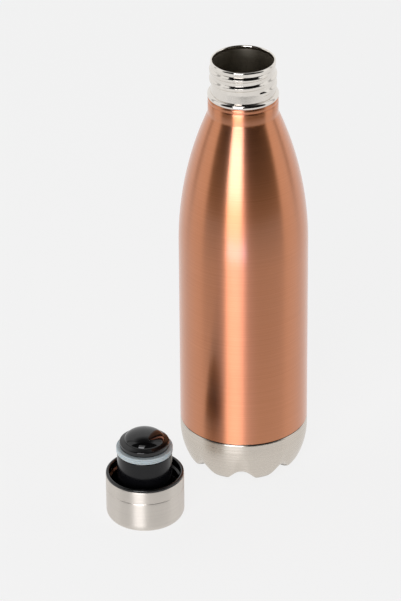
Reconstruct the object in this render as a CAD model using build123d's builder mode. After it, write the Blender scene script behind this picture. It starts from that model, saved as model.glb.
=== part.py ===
from build123d import *
import os
from math import asin, atan2, cos, degrees, radians, sin, sqrt, tan

os.makedirs("parts", exist_ok=True)

# A double-walled steel bottle, copper coloured outside, with a petal foot and a threaded mouth.
# Its stopper cap stands upside down on the same surface, in front of it and to the left.
# Millimetres. +Z is up, z = 0 is the surface that both stand on, and the origin is the middle
# of the whole footprint.

# ---- driving dimensions: outer body ----
body_radius = 36.0
joint_height = 28.9
shoulder_start = 140.3
shoulder_arc_radius = 203.1
collar_radius = 19.35
collar_top = 230.9
collar_waist_round = 4.0
collar_edge_round = 1.1
collar_groove_height = 228.1
collar_groove_radius = 0.35
collar_groove_offset = 0.15
shell_wall = 0.6
shell_edge_bevel = 0.2

# ---- foot cup ----
petal_count = 8
petal_turn = -92.2
flank_start = 24.2
flank_radius = 41.7
foot_round = 9.0
base_wall = 0.8
joint_bevel = 0.3
spigot_height = 3.0
spigot_wall = 0.6
press_gap = 0.03
valley_tube_radius = 7.3
valley_hub_height = 7.2
valley_bend_radius = 7.4
valley_slope = 68.0
valley_exit_height = 15.8
valley_reach = 14.0
hub_radius = 11.0
hub_height = 7.4

# ---- neck and mouth ----
mouth_radius = 16.7
mouth_top = 252.4
neck_root_radius = 17.5
neck_inner_radius = 17.15
lip_radius = 17.9
lip_height = 2.8
lip_round = 0.9
lip_step = 0.3
lip_inner_depth = 1.9
flange_radius = 19.6
flange_bead_height = 232.0
flange_bead_radius = 1.75
flange_bead_end = 86.0
flare_top = 237.2
flare_top_radius = 17.6
flare_step = 0.3
neck_skirt_bottom = 224.0

# ---- screw thread, single start, right hand ----
thread_pitch = 5.4
neck_thread_depth = 1.0
liner_thread_depth = 0.95
thread_base_width = 3.4
thread_crest_width = 1.5
thread_root_bite = 0.25
thread_first_angle = -65.0
thread_height_at_zero = 238.5
neck_thread_turns = 2.1
thread_trim_height = 249.3
thread_trim_reach = 1.4
liner_thread_turns = 1.25

# ---- inner bottle ----
inner_wall = 0.45
vacuum_gap = 3.6
inner_seam_height = 31.0
inner_shoulder_end_radius = 24.0
throat_radius = 15.0
throat_bottom = 206.0
throat_round = 2.0
seat_top = 214.2
inner_floor_height = 16.0
inner_floor_round = 11.0
inner_floor_dish = 2.0

# ---- vacuum getter and port ----
getter_radius = 5.0
getter_height = 1.9
getter_wall = 0.3
pellet_gap = 0.2
pellet_round = 0.4
pellet_drop = 0.3
port_radius = 0.8
port_gap = 0.05
bead_radius = 3.2
bead_height = 0.9
bead_round = 0.6
bead_stem_lift = 0.1
base_disc_radius = 9.6
base_disc_thickness = 0.5
base_disc_round = 0.3

# ---- cap, measured upside down from the surface it stands on ----
cap_offset_x = -55.0
cap_offset_y = -60.4
cap_radius = 21.8
cap_rim_height = 26.6
cap_edge_round = 4.5
cap_wall = 0.5
cap_rim_round = 0.2
cap_groove_height = 19.3
cap_groove_radius = 0.4
cap_groove_offset = 0.2
liner_gap = 0.05
liner_lip_top = 28.1
liner_lip_inset = 0.1
liner_lip_inner_radius = 19.9
liner_lip_round = 0.8
liner_counterbore_bottom = 23.4
liner_counterbore_slope = 0.9
liner_thread_radius = 18.95
liner_roof_bottom = 1.7
liner_roof_top = 3.2
cap_closed_height = 256.9
insert_radius = 16.0
insert_gap = 0.2
insert_bevel = 0.2

# ---- stopper ----
plug_radius = 15.3
plug_wall = 1.5
plug_round = 0.6
plug_top = 41.0
plug_neck_radius = 12.7
plug_neck_top = 45.6
plug_neck_wall = 1.3
foam_side_gap = 0.5
foam_bottom_gap = 0.4
foam_top_gap = 0.6
foam_bevel = 0.8
seal_radius = 15.7
seal_bottom = 41.05
seal_top = 44.35
seal_rib_count = 3
seal_rib_radius = 0.5
part_gap = 0.05
dome_flange_radius = 13.8
dome_flange_bottom = 44.6
dome_flange_top = 48.5
dome_crown_radius = 11.1
dome_edge_height = 47.5
dome_edge_round = 0.6
dome_top = 53.5
dome_wall = 1.5
dome_hollow_drop = 1.0
dome_skirt_wall = 1.2
dome_skirt_lift = 1.0
dome_seat_gap = 0.3

# ---- where things stand ----
low_x = min(-body_radius, cap_offset_x - cap_radius)
high_x = max(body_radius, cap_offset_x + cap_radius)
low_y = min(-body_radius, cap_offset_y - cap_radius)
high_y = max(body_radius, cap_offset_y + cap_radius)
bottle_x = -(low_x + high_x) / 2
bottle_y = -(low_y + high_y) / 2
cap_x = bottle_x + cap_offset_x
cap_y = bottle_y + cap_offset_y

bottle_plane = Plane(origin=(bottle_x, bottle_y, 0))
bottle_section = Plane(origin=(bottle_x, bottle_y, 0), x_dir=(1, 0, 0), z_dir=(0, -1, 0))
bottle_axis = Axis((bottle_x, bottle_y, 0), (0, 0, 1))
cap_section = Plane(origin=(cap_x, cap_y, 0), x_dir=(1, 0, 0), z_dir=(0, -1, 0))
cap_axis = Axis((cap_x, cap_y, 0), (0, 0, 1))


def shoulder_radius(height, inset):
    """Radius of the shoulder arc at a height, moved in by inset."""
    drop = height - shoulder_start
    return body_radius - shoulder_arc_radius + sqrt((shoulder_arc_radius - inset) ** 2 - drop**2)


def shoulder_height(radius, inset):
    """Height at which the shoulder arc, moved in by inset, has this radius."""
    side = radius - body_radius + shoulder_arc_radius
    return shoulder_start + sqrt((shoulder_arc_radius - inset) ** 2 - side**2)


def flank_radius_at(height, inset):
    """Radius of the foot cup's flank at a height, moved in by inset."""
    drop = flank_start - height
    return body_radius - flank_radius + sqrt((flank_radius - inset) ** 2 - drop**2)


def finish(builder, name):
    """Name a finished piece and write its file."""
    builder.part.label = name
    export_step(builder.part, f"parts/{name}.step")


# ---- outer shell: straight wall, shoulder arc, collar with a rolled edge ----
def shell_outline(inset):
    """Right-hand outline of the outer shell from its bottom edge to its top edge."""
    neck_radius = collar_radius - inset
    arc_top = shoulder_height(neck_radius, inset)
    arc_mid = (shoulder_start + arc_top) / 2
    Polyline((0, joint_height), (body_radius - inset, joint_height), (body_radius - inset, shoulder_start))
    ThreePointArc(
        (body_radius - inset, shoulder_start),
        (shoulder_radius(arc_mid, inset), arc_mid),
        (neck_radius, arc_top),
    )
    Polyline((neck_radius, arc_top), (neck_radius, collar_top), (0, collar_top), (0, joint_height))


with BuildPart() as outer_shell:
    with BuildSketch(bottle_section):
        with BuildLine():
            shell_outline(0)
        make_face()
    revolve(axis=bottle_axis)
    collar_corner = outer_shell.edges().filter_by(GeomType.CIRCLE).sort_by(Axis.Z)[-2]
    fillet(collar_corner, radius=collar_waist_round)
    fillet(outer_shell.edges().sort_by(Axis.Z)[-1], radius=collar_edge_round)
    with BuildSketch(bottle_section):
        with BuildLine():
            shell_outline(shell_wall)
        make_face()
    revolve(axis=bottle_axis, mode=Mode.SUBTRACT)
    # the fine line rolled into the collar below its edge
    with BuildSketch(bottle_section):
        with Locations((collar_radius + collar_groove_offset, collar_groove_height)):
            Circle(collar_groove_radius)
    revolve(axis=bottle_axis, mode=Mode.SUBTRACT)
    lowest_edges = outer_shell.edges().group_by(Axis.Z)[0]
    chamfer(lowest_edges.sort_by(SortBy.LENGTH)[-1], length=shell_edge_bevel)
finish(outer_shell, "outer_shell")


# ---- foot cup: a revolved cup pressed in by valleys that run out from the hub ----
def valley_path():
    """Centre line of one valley's tube, in its own upright plane: out, round a bend and up."""
    slope = radians(valley_slope)
    exit_radius = flank_radius_at(valley_exit_height, 0)
    start_height = valley_hub_height - valley_tube_radius
    exit_x = exit_radius + valley_tube_radius * sin(slope)
    exit_z = valley_exit_height - valley_tube_radius * cos(slope)
    corner_x = exit_x + (start_height - exit_z) / tan(slope)
    return [
        (0, start_height),
        (corner_x, start_height),
        (exit_x + valley_reach * cos(slope), exit_z + valley_reach * sin(slope)),
    ]


def valley_tube(tube_radius):
    """One valley, as the solid that presses it in."""
    with BuildPart() as tube:
        with BuildLine(Plane.XZ) as path:
            FilletPolyline(*valley_path(), radius=valley_bend_radius + valley_tube_radius)
        with BuildSketch(Plane.YZ):
            with Locations((0, valley_hub_height - valley_tube_radius)):
                Circle(tube_radius)
        sweep(path=path.wires()[0])
    return tube.part


def foot_solid(inset):
    """The foot cup's outer form about the Z axis, moved in by inset, before the valleys."""
    foot_corner = flank_radius_at(inset, inset)
    mid_height = (flank_start + inset) / 2
    with BuildPart() as form:
        with BuildSketch(Plane.XZ):
            with BuildLine():
                Polyline(
                    (0, inset),
                    (0, joint_height),
                    (body_radius - inset - joint_bevel, joint_height),
                    (body_radius - inset, joint_height - joint_bevel),
                    (body_radius - inset, flank_start),
                )
                ThreePointArc(
                    (body_radius - inset, flank_start),
                    (flank_radius_at(mid_height, inset), mid_height),
                    (foot_corner, inset),
                )
                Line((foot_corner, inset), (0, inset))
            make_face()
        revolve(axis=Axis.Z)
        fillet(form.edges().sort_by(Axis.Z)[0], radius=foot_round - inset)
    return form.part


outer_valley = valley_tube(valley_tube_radius)
inner_valley = valley_tube(valley_tube_radius + base_wall)

with BuildPart() as base_hollow:
    add(foot_solid(base_wall))
    with PolarLocations(0, petal_count, start_angle=petal_turn):
        add(inner_valley, mode=Mode.SUBTRACT)
    with BuildSketch():
        Circle(hub_radius + base_wall)
    extrude(amount=hub_height + base_wall, mode=Mode.SUBTRACT)

with BuildPart(bottle_plane) as outer_base:
    add(foot_solid(0))
    with PolarLocations(0, petal_count, start_angle=petal_turn):
        add(outer_valley, mode=Mode.SUBTRACT)
    with BuildSketch(bottle_plane):
        Circle(hub_radius)
    extrude(amount=hub_height, mode=Mode.SUBTRACT)
    add(base_hollow.part, mode=Mode.SUBTRACT)
    # the evacuation hole
    with BuildSketch(bottle_plane):
        Circle(port_radius)
    extrude(amount=joint_height, mode=Mode.SUBTRACT)
    # the spigot that tucks up inside the outer shell
    with BuildSketch(Plane(origin=(bottle_x, bottle_y, joint_height - spigot_height))):
        Circle(body_radius - shell_wall - press_gap)
        Circle(body_radius - shell_wall - press_gap - spigot_wall, mode=Mode.SUBTRACT)
    extrude(amount=2 * spigot_height)
finish(outer_base, "outer_base")


# ---- what closes the evacuation hole, under the hub ----
with BuildPart() as vacuum_bead:
    with BuildSketch(Plane(origin=(bottle_x, bottle_y, hub_height + base_wall))):
        Circle(bead_radius)
    extrude(amount=bead_height)
    fillet(vacuum_bead.edges().sort_by(Axis.Z)[-1], radius=bead_round)
    with BuildSketch(Plane(origin=(bottle_x, bottle_y, hub_height + bead_stem_lift))):
        Circle(port_radius - port_gap)
    extrude(amount=base_wall)
finish(vacuum_bead, "vacuum_bead")

with BuildPart() as base_disc:
    with BuildSketch(Plane(origin=(bottle_x, bottle_y, hub_height - base_disc_thickness))):
        Circle(base_disc_radius)
    extrude(amount=base_disc_thickness)
    fillet(base_disc.edges().sort_by(Axis.Z)[0], radius=base_disc_round)
finish(base_disc, "base_disc")


# ---- inner bottle: straight wall, shoulder, throat, seat for the seal, neck ----
def vessel_outline(inset):
    """Right-hand outline of the inner bottle, moved in by inset from its outer face."""
    gap = vacuum_gap + inset
    radius = body_radius - gap
    throat = throat_radius + inner_wall - inset
    neck = mouth_radius + inner_wall - inset
    top = mouth_top - lip_inner_depth
    arc_top = shoulder_height(inner_shoulder_end_radius - inset, gap)
    arc_mid = (shoulder_start + arc_top) / 2
    Line((radius, inner_seam_height), (radius, shoulder_start))
    ThreePointArc(
        (radius, shoulder_start),
        (shoulder_radius(arc_mid, gap), arc_mid),
        (inner_shoulder_end_radius - inset, arc_top),
    )
    FilletPolyline(
        (inner_shoulder_end_radius - inset, arc_top),
        (throat, throat_bottom),
        (throat, seat_top - neck + throat),
        radius=throat_round + inset,
    )
    Polyline(
        (throat, seat_top - neck + throat),
        (neck, seat_top),
        (neck, top),
        (0, top),
        (0, inner_seam_height),
        (radius, inner_seam_height),
    )


with BuildPart() as inner_vessel:
    with BuildSketch(bottle_section):
        with BuildLine():
            vessel_outline(0)
        make_face()
    revolve(axis=bottle_axis)
    with BuildSketch(bottle_section):
        with BuildLine():
            vessel_outline(inner_wall)
        make_face()
    revolve(axis=bottle_axis, mode=Mode.SUBTRACT)
finish(inner_vessel, "inner_vessel")


def floor_outline(inset):
    """Right-hand outline of the inner bottle's dished bottom."""
    radius = body_radius - vacuum_gap - inset
    FilletPolyline(
        (radius, inner_seam_height),
        (radius, inner_floor_height + inner_floor_dish + inset),
        (0, inner_floor_height + inset),
        radius=inner_floor_round - inset,
    )
    Polyline((0, inner_floor_height + inset), (0, inner_seam_height), (radius, inner_seam_height))


with BuildPart() as inner_base:
    with BuildSketch(bottle_section):
        with BuildLine():
            floor_outline(0)
        make_face()
    revolve(axis=bottle_axis)
    with BuildSketch(bottle_section):
        with BuildLine():
            floor_outline(inner_wall)
        make_face()
    revolve(axis=bottle_axis, mode=Mode.SUBTRACT)
finish(inner_base, "inner_base")

# ---- getter: a small cup of sintered pellet, fixed under the inner bottom ----
getter_bottom = inner_floor_height - getter_height
with BuildPart() as getter_pan:
    with BuildSketch(Plane(origin=(bottle_x, bottle_y, getter_bottom))):
        Circle(getter_radius)
    extrude(amount=getter_height)
    with BuildSketch(Plane(origin=(bottle_x, bottle_y, getter_bottom + getter_wall))):
        Circle(getter_radius - getter_wall)
    extrude(amount=getter_height, mode=Mode.SUBTRACT)
finish(getter_pan, "getter_pan")

with BuildPart() as getter_pellet:
    with BuildSketch(Plane(origin=(bottle_x, bottle_y, getter_bottom + getter_wall))):
        Circle(getter_radius - getter_wall - pellet_gap)
    extrude(amount=getter_height - getter_wall - pellet_drop)
    fillet(getter_pellet.edges().sort_by(Axis.Z)[-1], radius=pellet_round)
finish(getter_pellet, "getter_pellet")


# ---- screw threads ----
def thread_ridge(radius, depth, turns):
    """A ridge of the screw thread about the Z axis. A negative depth stands into a bore."""
    side = 1 if depth > 0 else -1
    with BuildPart() as ridge:
        with BuildLine() as path:
            Helix(pitch=thread_pitch, height=thread_pitch * turns, radius=radius)
        across = Plane(origin=path.line @ 0, x_dir=(side, 0, 0), z_dir=path.line % 0)
        with BuildSketch(across):
            with BuildLine():
                Polyline(
                    (-thread_root_bite, -thread_base_width / 2),
                    (0, -thread_base_width / 2),
                    (abs(depth), -thread_crest_width / 2),
                    (abs(depth), thread_crest_width / 2),
                    (0, thread_base_width / 2),
                    (-thread_root_bite, thread_base_width / 2),
                    close=True,
                )
            make_face()
        sweep(path=path.line, is_frenet=True)
    return ridge.part


thread_first_height = thread_height_at_zero + thread_pitch * thread_first_angle / 360

# ---- neck finish: skirt inside the collar, flange bead, threaded wall, rolled lip ----
bead_centre = flange_radius - flange_bead_radius
bead_start = -degrees(asin((flange_bead_height - collar_top) / flange_bead_radius))
bead_foot = bead_centre + flange_bead_radius * cos(radians(bead_start))
bead_end_radius = bead_centre + flange_bead_radius * cos(radians(flange_bead_end))
bead_end_height = flange_bead_height + flange_bead_radius * sin(radians(flange_bead_end))
skirt_outer_radius = collar_radius - shell_wall - press_gap
lip_bottom = mouth_top - lip_height
lip_edge = mouth_top - lip_round

# the groove turned under the lip trims the top of the thread's last stretch to a cone
neck_thread = thread_ridge(neck_root_radius, neck_thread_depth, neck_thread_turns)
neck_thread = neck_thread.rotate(Axis.Z, thread_first_angle)
with BuildPart() as neck_ridge:
    add(neck_thread.translate((bottle_x, bottle_y, thread_first_height)))
    with BuildSketch(bottle_section):
        with BuildLine():
            Polyline(
                (neck_root_radius - thread_trim_reach, thread_trim_height + thread_trim_reach),
                (neck_root_radius + thread_trim_reach, thread_trim_height - thread_trim_reach),
                (neck_root_radius + thread_trim_reach, thread_trim_height + thread_trim_reach),
                close=True,
            )
        make_face()
    revolve(axis=bottle_axis, mode=Mode.SUBTRACT)
with BuildPart() as neck_finish:
    with BuildSketch(bottle_section):
        with BuildLine():
            Polyline(
                (neck_inner_radius, neck_skirt_bottom),
                (skirt_outer_radius, neck_skirt_bottom),
                (skirt_outer_radius, collar_top),
                (bead_foot, collar_top),
            )
            CenterArc(
                (bead_centre, flange_bead_height),
                flange_bead_radius,
                bead_start,
                flange_bead_end - bead_start,
            )
            Polyline(
                (bead_end_radius, bead_end_height),
                (flare_top_radius, flare_top),
                (neck_root_radius, flare_top + flare_step),
                (neck_root_radius, lip_bottom - lip_step),
                (lip_radius, lip_bottom),
                (lip_radius, lip_edge),
            )
            ThreePointArc(
                (lip_radius, lip_edge),
                ((lip_radius + mouth_radius) / 2, mouth_top),
                (mouth_radius, lip_edge),
            )
            Polyline(
                (mouth_radius, lip_edge),
                (mouth_radius, mouth_top - lip_inner_depth),
                (neck_inner_radius, mouth_top - lip_inner_depth),
                (neck_inner_radius, neck_skirt_bottom),
            )
        make_face()
    revolve(axis=bottle_axis)
    add(neck_ridge.part)
finish(neck_finish, "neck_finish")

# ---- cap shell: a steel cup, upside down, flat face on the surface ----
def cap_cup(inset):
    """The cap shell's form, moved in by inset."""
    with BuildPart() as form:
        with BuildSketch(Plane(origin=(cap_x, cap_y, inset))):
            Circle(cap_radius - inset)
        extrude(amount=cap_rim_height - inset)
        fillet(form.edges().sort_by(Axis.Z)[0], radius=cap_edge_round - inset)
    return form.part


with BuildPart() as cap_shell:
    add(cap_cup(0))
    add(cap_cup(cap_wall), mode=Mode.SUBTRACT)
    with BuildSketch(cap_section):
        with Locations((cap_radius + cap_groove_offset, cap_groove_height)):
            Circle(cap_groove_radius)
    revolve(axis=cap_axis, mode=Mode.SUBTRACT)
    highest_edges = cap_shell.edges().group_by(Axis.Z)[-1]
    fillet(highest_edges.sort_by(SortBy.LENGTH)[-1], radius=cap_rim_round)
finish(cap_shell, "cap_shell")

with BuildPart() as insert_disc:
    with BuildSketch(Plane(origin=(cap_x, cap_y, cap_wall + insert_gap))):
        Circle(insert_radius)
    extrude(amount=liner_roof_bottom - cap_wall - 2 * insert_gap)
    chamfer(insert_disc.edges(), length=insert_bevel)
finish(insert_disc, "insert_disc")

# ---- cap liner: roof, threaded wall, counterbore for the bottle's flange, rounded rim ----
# Turned over about the X direction and set down on the neck, a ridge point at angle a and height z
# comes to angle -a and height cap_closed_height - z. There it lies half a pitch below the neck's
# ridge, so the cap's ridge starts here, at the mouth's end of the neck's thread.
neck_end_angle = thread_first_angle + 360 * neck_thread_turns
neck_end_height = thread_first_height + thread_pitch * neck_thread_turns
liner_thread_angle = -neck_end_angle
liner_thread_height = cap_closed_height - (neck_end_height - thread_pitch / 2)
liner_outer_radius = cap_radius - cap_wall - liner_gap
corner_reach = liner_outer_radius - cap_radius + cap_edge_round
corner_drop = cap_edge_round - liner_roof_bottom
corner_start = -atan2(corner_drop, sqrt(corner_reach**2 - corner_drop**2))


def liner_corner(angle):
    """A point on the liner's rounded lower corner."""
    side = cap_radius - cap_edge_round + corner_reach * cos(angle)
    return (side, cap_edge_round + corner_reach * sin(angle))


with BuildPart() as cap_liner:
    with BuildSketch(cap_section) as liner_section:
        with BuildLine():
            Line((0, liner_roof_bottom), liner_corner(corner_start))
            ThreePointArc(liner_corner(corner_start), liner_corner(corner_start / 2), liner_corner(0))
            Polyline(
                liner_corner(0),
                (liner_outer_radius, cap_rim_height),
                (cap_radius - liner_lip_inset, cap_rim_height),
                (cap_radius - liner_lip_inset, liner_lip_top),
                (liner_lip_inner_radius, liner_lip_top),
                (liner_lip_inner_radius, liner_counterbore_bottom),
                (liner_thread_radius, liner_counterbore_bottom - liner_counterbore_slope),
                (liner_thread_radius, liner_roof_top),
                (0, liner_roof_top),
                (0, liner_roof_bottom),
            )
        make_face()
        fillet(liner_section.vertices().group_by(Axis.Y)[-1], radius=liner_lip_round)
    revolve(axis=cap_axis)
    liner_ridge = thread_ridge(liner_thread_radius, -liner_thread_depth, liner_thread_turns)
    add(liner_ridge.rotate(Axis.Z, liner_thread_angle).translate((cap_x, cap_y, liner_thread_height)))
finish(cap_liner, "cap_liner")

# ---- stopper plug: hollow, open towards the roof, with a neck that carries seal and dome ----
plug_bore = plug_radius - plug_wall
with BuildPart() as stopper_plug:
    with BuildSketch(cap_section) as plug_section:
        with BuildLine():
            Polyline(
                (plug_bore, liner_roof_top),
                (plug_radius, liner_roof_top),
                (plug_radius, plug_top),
                (plug_neck_radius, plug_top),
                (plug_neck_radius, plug_neck_top),
                (plug_neck_radius - plug_neck_wall, plug_neck_top),
                (plug_neck_radius - plug_neck_wall, plug_top - plug_wall),
                (plug_bore, plug_top - plug_wall),
                close=True,
            )
        make_face()
        fillet(plug_section.vertices().sort_by_distance((plug_radius, plug_top))[0], radius=plug_round)
    revolve(axis=cap_axis)
finish(stopper_plug, "stopper_plug")

with BuildPart() as foam_core:
    with BuildSketch(Plane(origin=(cap_x, cap_y, liner_roof_top + foam_bottom_gap))):
        Circle(plug_bore - foam_side_gap)
    extrude(amount=plug_top - plug_wall - liner_roof_top - foam_bottom_gap - foam_top_gap)
    chamfer(foam_core.edges(), length=foam_bevel)
finish(foam_core, "foam_core")

# ---- seal: a silicone ring with ribs round its outside ----
seal_inner = plug_neck_radius + part_gap
rib_centre = seal_radius - seal_rib_radius
rib_pitch = (seal_top - seal_bottom - 2 * seal_rib_radius) / (seal_rib_count - 1)
with BuildPart() as seal_ring:
    with BuildSketch(cap_section):
        with BuildLine():
            Polyline(
                (seal_inner, seal_bottom),
                (rib_centre, seal_bottom),
                (rib_centre, seal_top),
                (seal_inner, seal_top),
                close=True,
            )
        make_face()
        for rib in range(seal_rib_count):
            with Locations((rib_centre, seal_bottom + seal_rib_radius + rib * rib_pitch)):
                Circle(seal_rib_radius)
    revolve(axis=cap_axis)
finish(seal_ring, "seal_ring")

# ---- dome: flange, crown, and a skirt that fits inside the plug's neck ----
dome_bore = plug_neck_radius + part_gap
skirt_radius = plug_neck_radius - plug_neck_wall - part_gap
skirt_inner_radius = skirt_radius - dome_skirt_wall
skirt_bottom = plug_top + dome_skirt_lift
dome_seat = plug_neck_top + dome_seat_gap
hollow_base = dome_flange_top - dome_hollow_drop


def crown_line(radius, base, top):
    """Quarter of an ellipse from the crown's foot, at radius and base, up to its top."""
    halfway = (radius * cos(radians(45)), base + (top - base) * sin(radians(45)))
    Spline((radius, base), halfway, (0, top), tangents=((0, 1), (-1, 0)))


with BuildPart() as stopper_dome:
    with BuildSketch(cap_section):
        with BuildLine():
            FilletPolyline(
                (dome_bore, dome_flange_bottom),
                (dome_flange_radius, dome_flange_bottom),
                (dome_flange_radius, dome_edge_height),
                (dome_crown_radius, dome_flange_top),
                radius=dome_edge_round,
            )
            crown_line(dome_crown_radius, dome_flange_top, dome_top)
            Line((0, dome_top), (0, dome_top - dome_wall))
            crown_line(skirt_inner_radius, hollow_base, dome_top - dome_wall)
            Polyline(
                (skirt_inner_radius, hollow_base),
                (skirt_inner_radius, skirt_bottom),
                (skirt_radius, skirt_bottom),
                (skirt_radius, dome_seat),
                (dome_bore, dome_seat),
                (dome_bore, dome_flange_bottom),
            )
        make_face()
    revolve(axis=cap_axis)
finish(stopper_dome, "stopper_dome")
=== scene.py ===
import math

import bmesh
import bpy
import numpy as np
from mathutils import Matrix, Vector


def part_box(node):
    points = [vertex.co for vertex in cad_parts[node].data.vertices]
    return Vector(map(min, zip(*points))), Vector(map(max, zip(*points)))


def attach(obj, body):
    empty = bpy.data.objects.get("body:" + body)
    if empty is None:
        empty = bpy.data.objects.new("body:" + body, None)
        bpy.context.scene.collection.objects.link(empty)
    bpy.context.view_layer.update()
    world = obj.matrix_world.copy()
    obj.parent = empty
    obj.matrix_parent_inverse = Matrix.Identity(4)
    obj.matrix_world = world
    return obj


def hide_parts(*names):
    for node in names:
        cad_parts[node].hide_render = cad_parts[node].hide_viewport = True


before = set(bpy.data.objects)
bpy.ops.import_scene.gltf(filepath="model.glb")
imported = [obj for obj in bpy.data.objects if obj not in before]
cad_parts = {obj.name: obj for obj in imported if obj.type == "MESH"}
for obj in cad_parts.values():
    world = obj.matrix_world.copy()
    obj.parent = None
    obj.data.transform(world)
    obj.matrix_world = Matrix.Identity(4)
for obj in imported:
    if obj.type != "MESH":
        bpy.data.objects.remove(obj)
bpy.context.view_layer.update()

MM = 0.001


def middle(node):
    """Upright axis of a round CAD node, as x and y in metres."""
    low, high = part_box(node)
    return (low.x + high.x) / 2, (low.y + high.y) / 2


def top_mm(node):
    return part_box(node)[1].z / MM


def low_mm(node):
    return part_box(node)[0].z / MM


def radius_mm(node):
    low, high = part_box(node)
    return (high.x - low.x) / 2 / MM


BOTTLE = middle("outer_shell")
CAP = middle("cap_shell")


# ------------------------------------------------------------------ node helpers
# a Mix node's sockets when it mixes colours
FIRST_COLOUR, SECOND_COLOUR, MIXED_COLOUR = 6, 7, 2
SEAM_HALF_HEIGHT = 0.0004


class Tree:
    """Short calls for making a node tree."""

    def __init__(self, tree):
        self.tree = tree
        self.tree.nodes.clear()

    def new(self, kind, **settings):
        node = self.tree.nodes.new(kind)
        for key, value in settings.items():
            setattr(node, key, value)
        return node

    def link(self, source, target):
        self.tree.links.new(source, target)

    def put(self, value, socket):
        """Link a value that comes from a node, or set a plain one."""
        if isinstance(value, bpy.types.NodeSocket):
            self.link(value, socket)
        else:
            socket.default_value = value

    def maths(self, kind, first, second=0.0):
        node = self.new("ShaderNodeMath", operation=kind)
        self.put(first, node.inputs[0])
        self.put(second, node.inputs[1])
        return node.outputs[0]


class Nodes(Tree):
    """A material's node tree, round one principled shader."""

    def __init__(self, name):
        self.material = bpy.data.materials.new(name)
        self.material.use_nodes = True
        super().__init__(self.material.node_tree)
        self.shader = self.new("ShaderNodeBsdfPrincipled")
        output = self.new("ShaderNodeOutputMaterial")
        self.link(self.shader.outputs["BSDF"], output.inputs["Surface"])
        self.place = self.new("ShaderNodeTexCoord").outputs["Object"]

    def set(self, **values):
        """Set the shader's own sockets; a word's underscores stand for spaces."""
        for key, value in values.items():
            self.put(value, self.shader.inputs[key.replace("_", " ")])

    def scaled(self, scale):
        mapping = self.new("ShaderNodeMapping")
        mapping.inputs["Scale"].default_value = scale
        self.link(self.place, mapping.inputs["Vector"])
        return mapping.outputs["Vector"]

    def noise(self, vector, detail=3.0, rough=0.5, distort=0.0):
        node = self.new("ShaderNodeTexNoise")
        node.inputs["Scale"].default_value = 1.0
        node.inputs["Detail"].default_value = detail
        node.inputs["Roughness"].default_value = rough
        node.inputs["Distortion"].default_value = distort
        self.link(vector, node.inputs["Vector"])
        return node.outputs["Fac"]

    def cells(self, scale):
        """Distance to the nearest of a cloud of points, so many to the metre."""
        node = self.new("ShaderNodeTexVoronoi")
        node.inputs["Scale"].default_value = scale
        self.link(self.place, node.inputs["Vector"])
        return node.outputs["Distance"]

    def spread(self, value, low, high, start=0.0, end=1.0, curve="LINEAR"):
        """Map a value's start..end to low..high."""
        node = self.new("ShaderNodeMapRange", interpolation_type=curve)
        for key, number in (
            ("From Min", start),
            ("From Max", end),
            ("To Min", low),
            ("To Max", high),
        ):
            node.inputs[key].default_value = number
        self.link(value, node.inputs["Value"])
        return node.outputs["Result"]

    def blend(self, factor, first, second):
        """From a first colour, plain or from a node, to a plain second one."""
        node = self.new("ShaderNodeMix", data_type="RGBA")
        self.link(factor, node.inputs["Factor"])
        plain = not isinstance(first, bpy.types.NodeSocket)
        self.put((*first, 1) if plain else first, node.inputs[FIRST_COLOUR])
        node.inputs[SECOND_COLOUR].default_value = (*second, 1)
        return node.outputs[MIXED_COLOUR]

    def bump(self, height, distance, strength):
        node = self.new("ShaderNodeBump")
        node.inputs["Strength"].default_value = strength
        node.inputs["Distance"].default_value = distance
        self.link(height, node.inputs["Height"])
        return node.outputs["Normal"]

    def near_seam(self, height, radius):
        """1 inside a radius close to a height, 0 elsewhere."""
        parts = self.new("ShaderNodeSeparateXYZ")
        self.link(self.place, parts.inputs[0])
        across = self.maths("MULTIPLY", parts.outputs["X"], parts.outputs["X"])
        along = self.maths("MULTIPLY", parts.outputs["Y"], parts.outputs["Y"])
        reach = self.maths("SQRT", self.maths("ADD", across, along))
        away = self.maths("ABSOLUTE", self.maths("SUBTRACT", parts.outputs["Z"], height))
        return self.maths(
            "MULTIPLY",
            self.maths("LESS_THAN", away, SEAM_HALF_HEIGHT),
            self.maths("LESS_THAN", reach, radius),
        )

    def round_tangent(self):
        return self.new(
            "ShaderNodeTangent", direction_type="RADIAL", axis="Z"
        ).outputs["Tangent"]


SEAM_SHADE = (0.06, 0.045, 0.035)
# colour of the painted shade at the bottom of the foot
PAINTED_FOOT_SHADE = (0.16, 0.15, 0.14)


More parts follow.
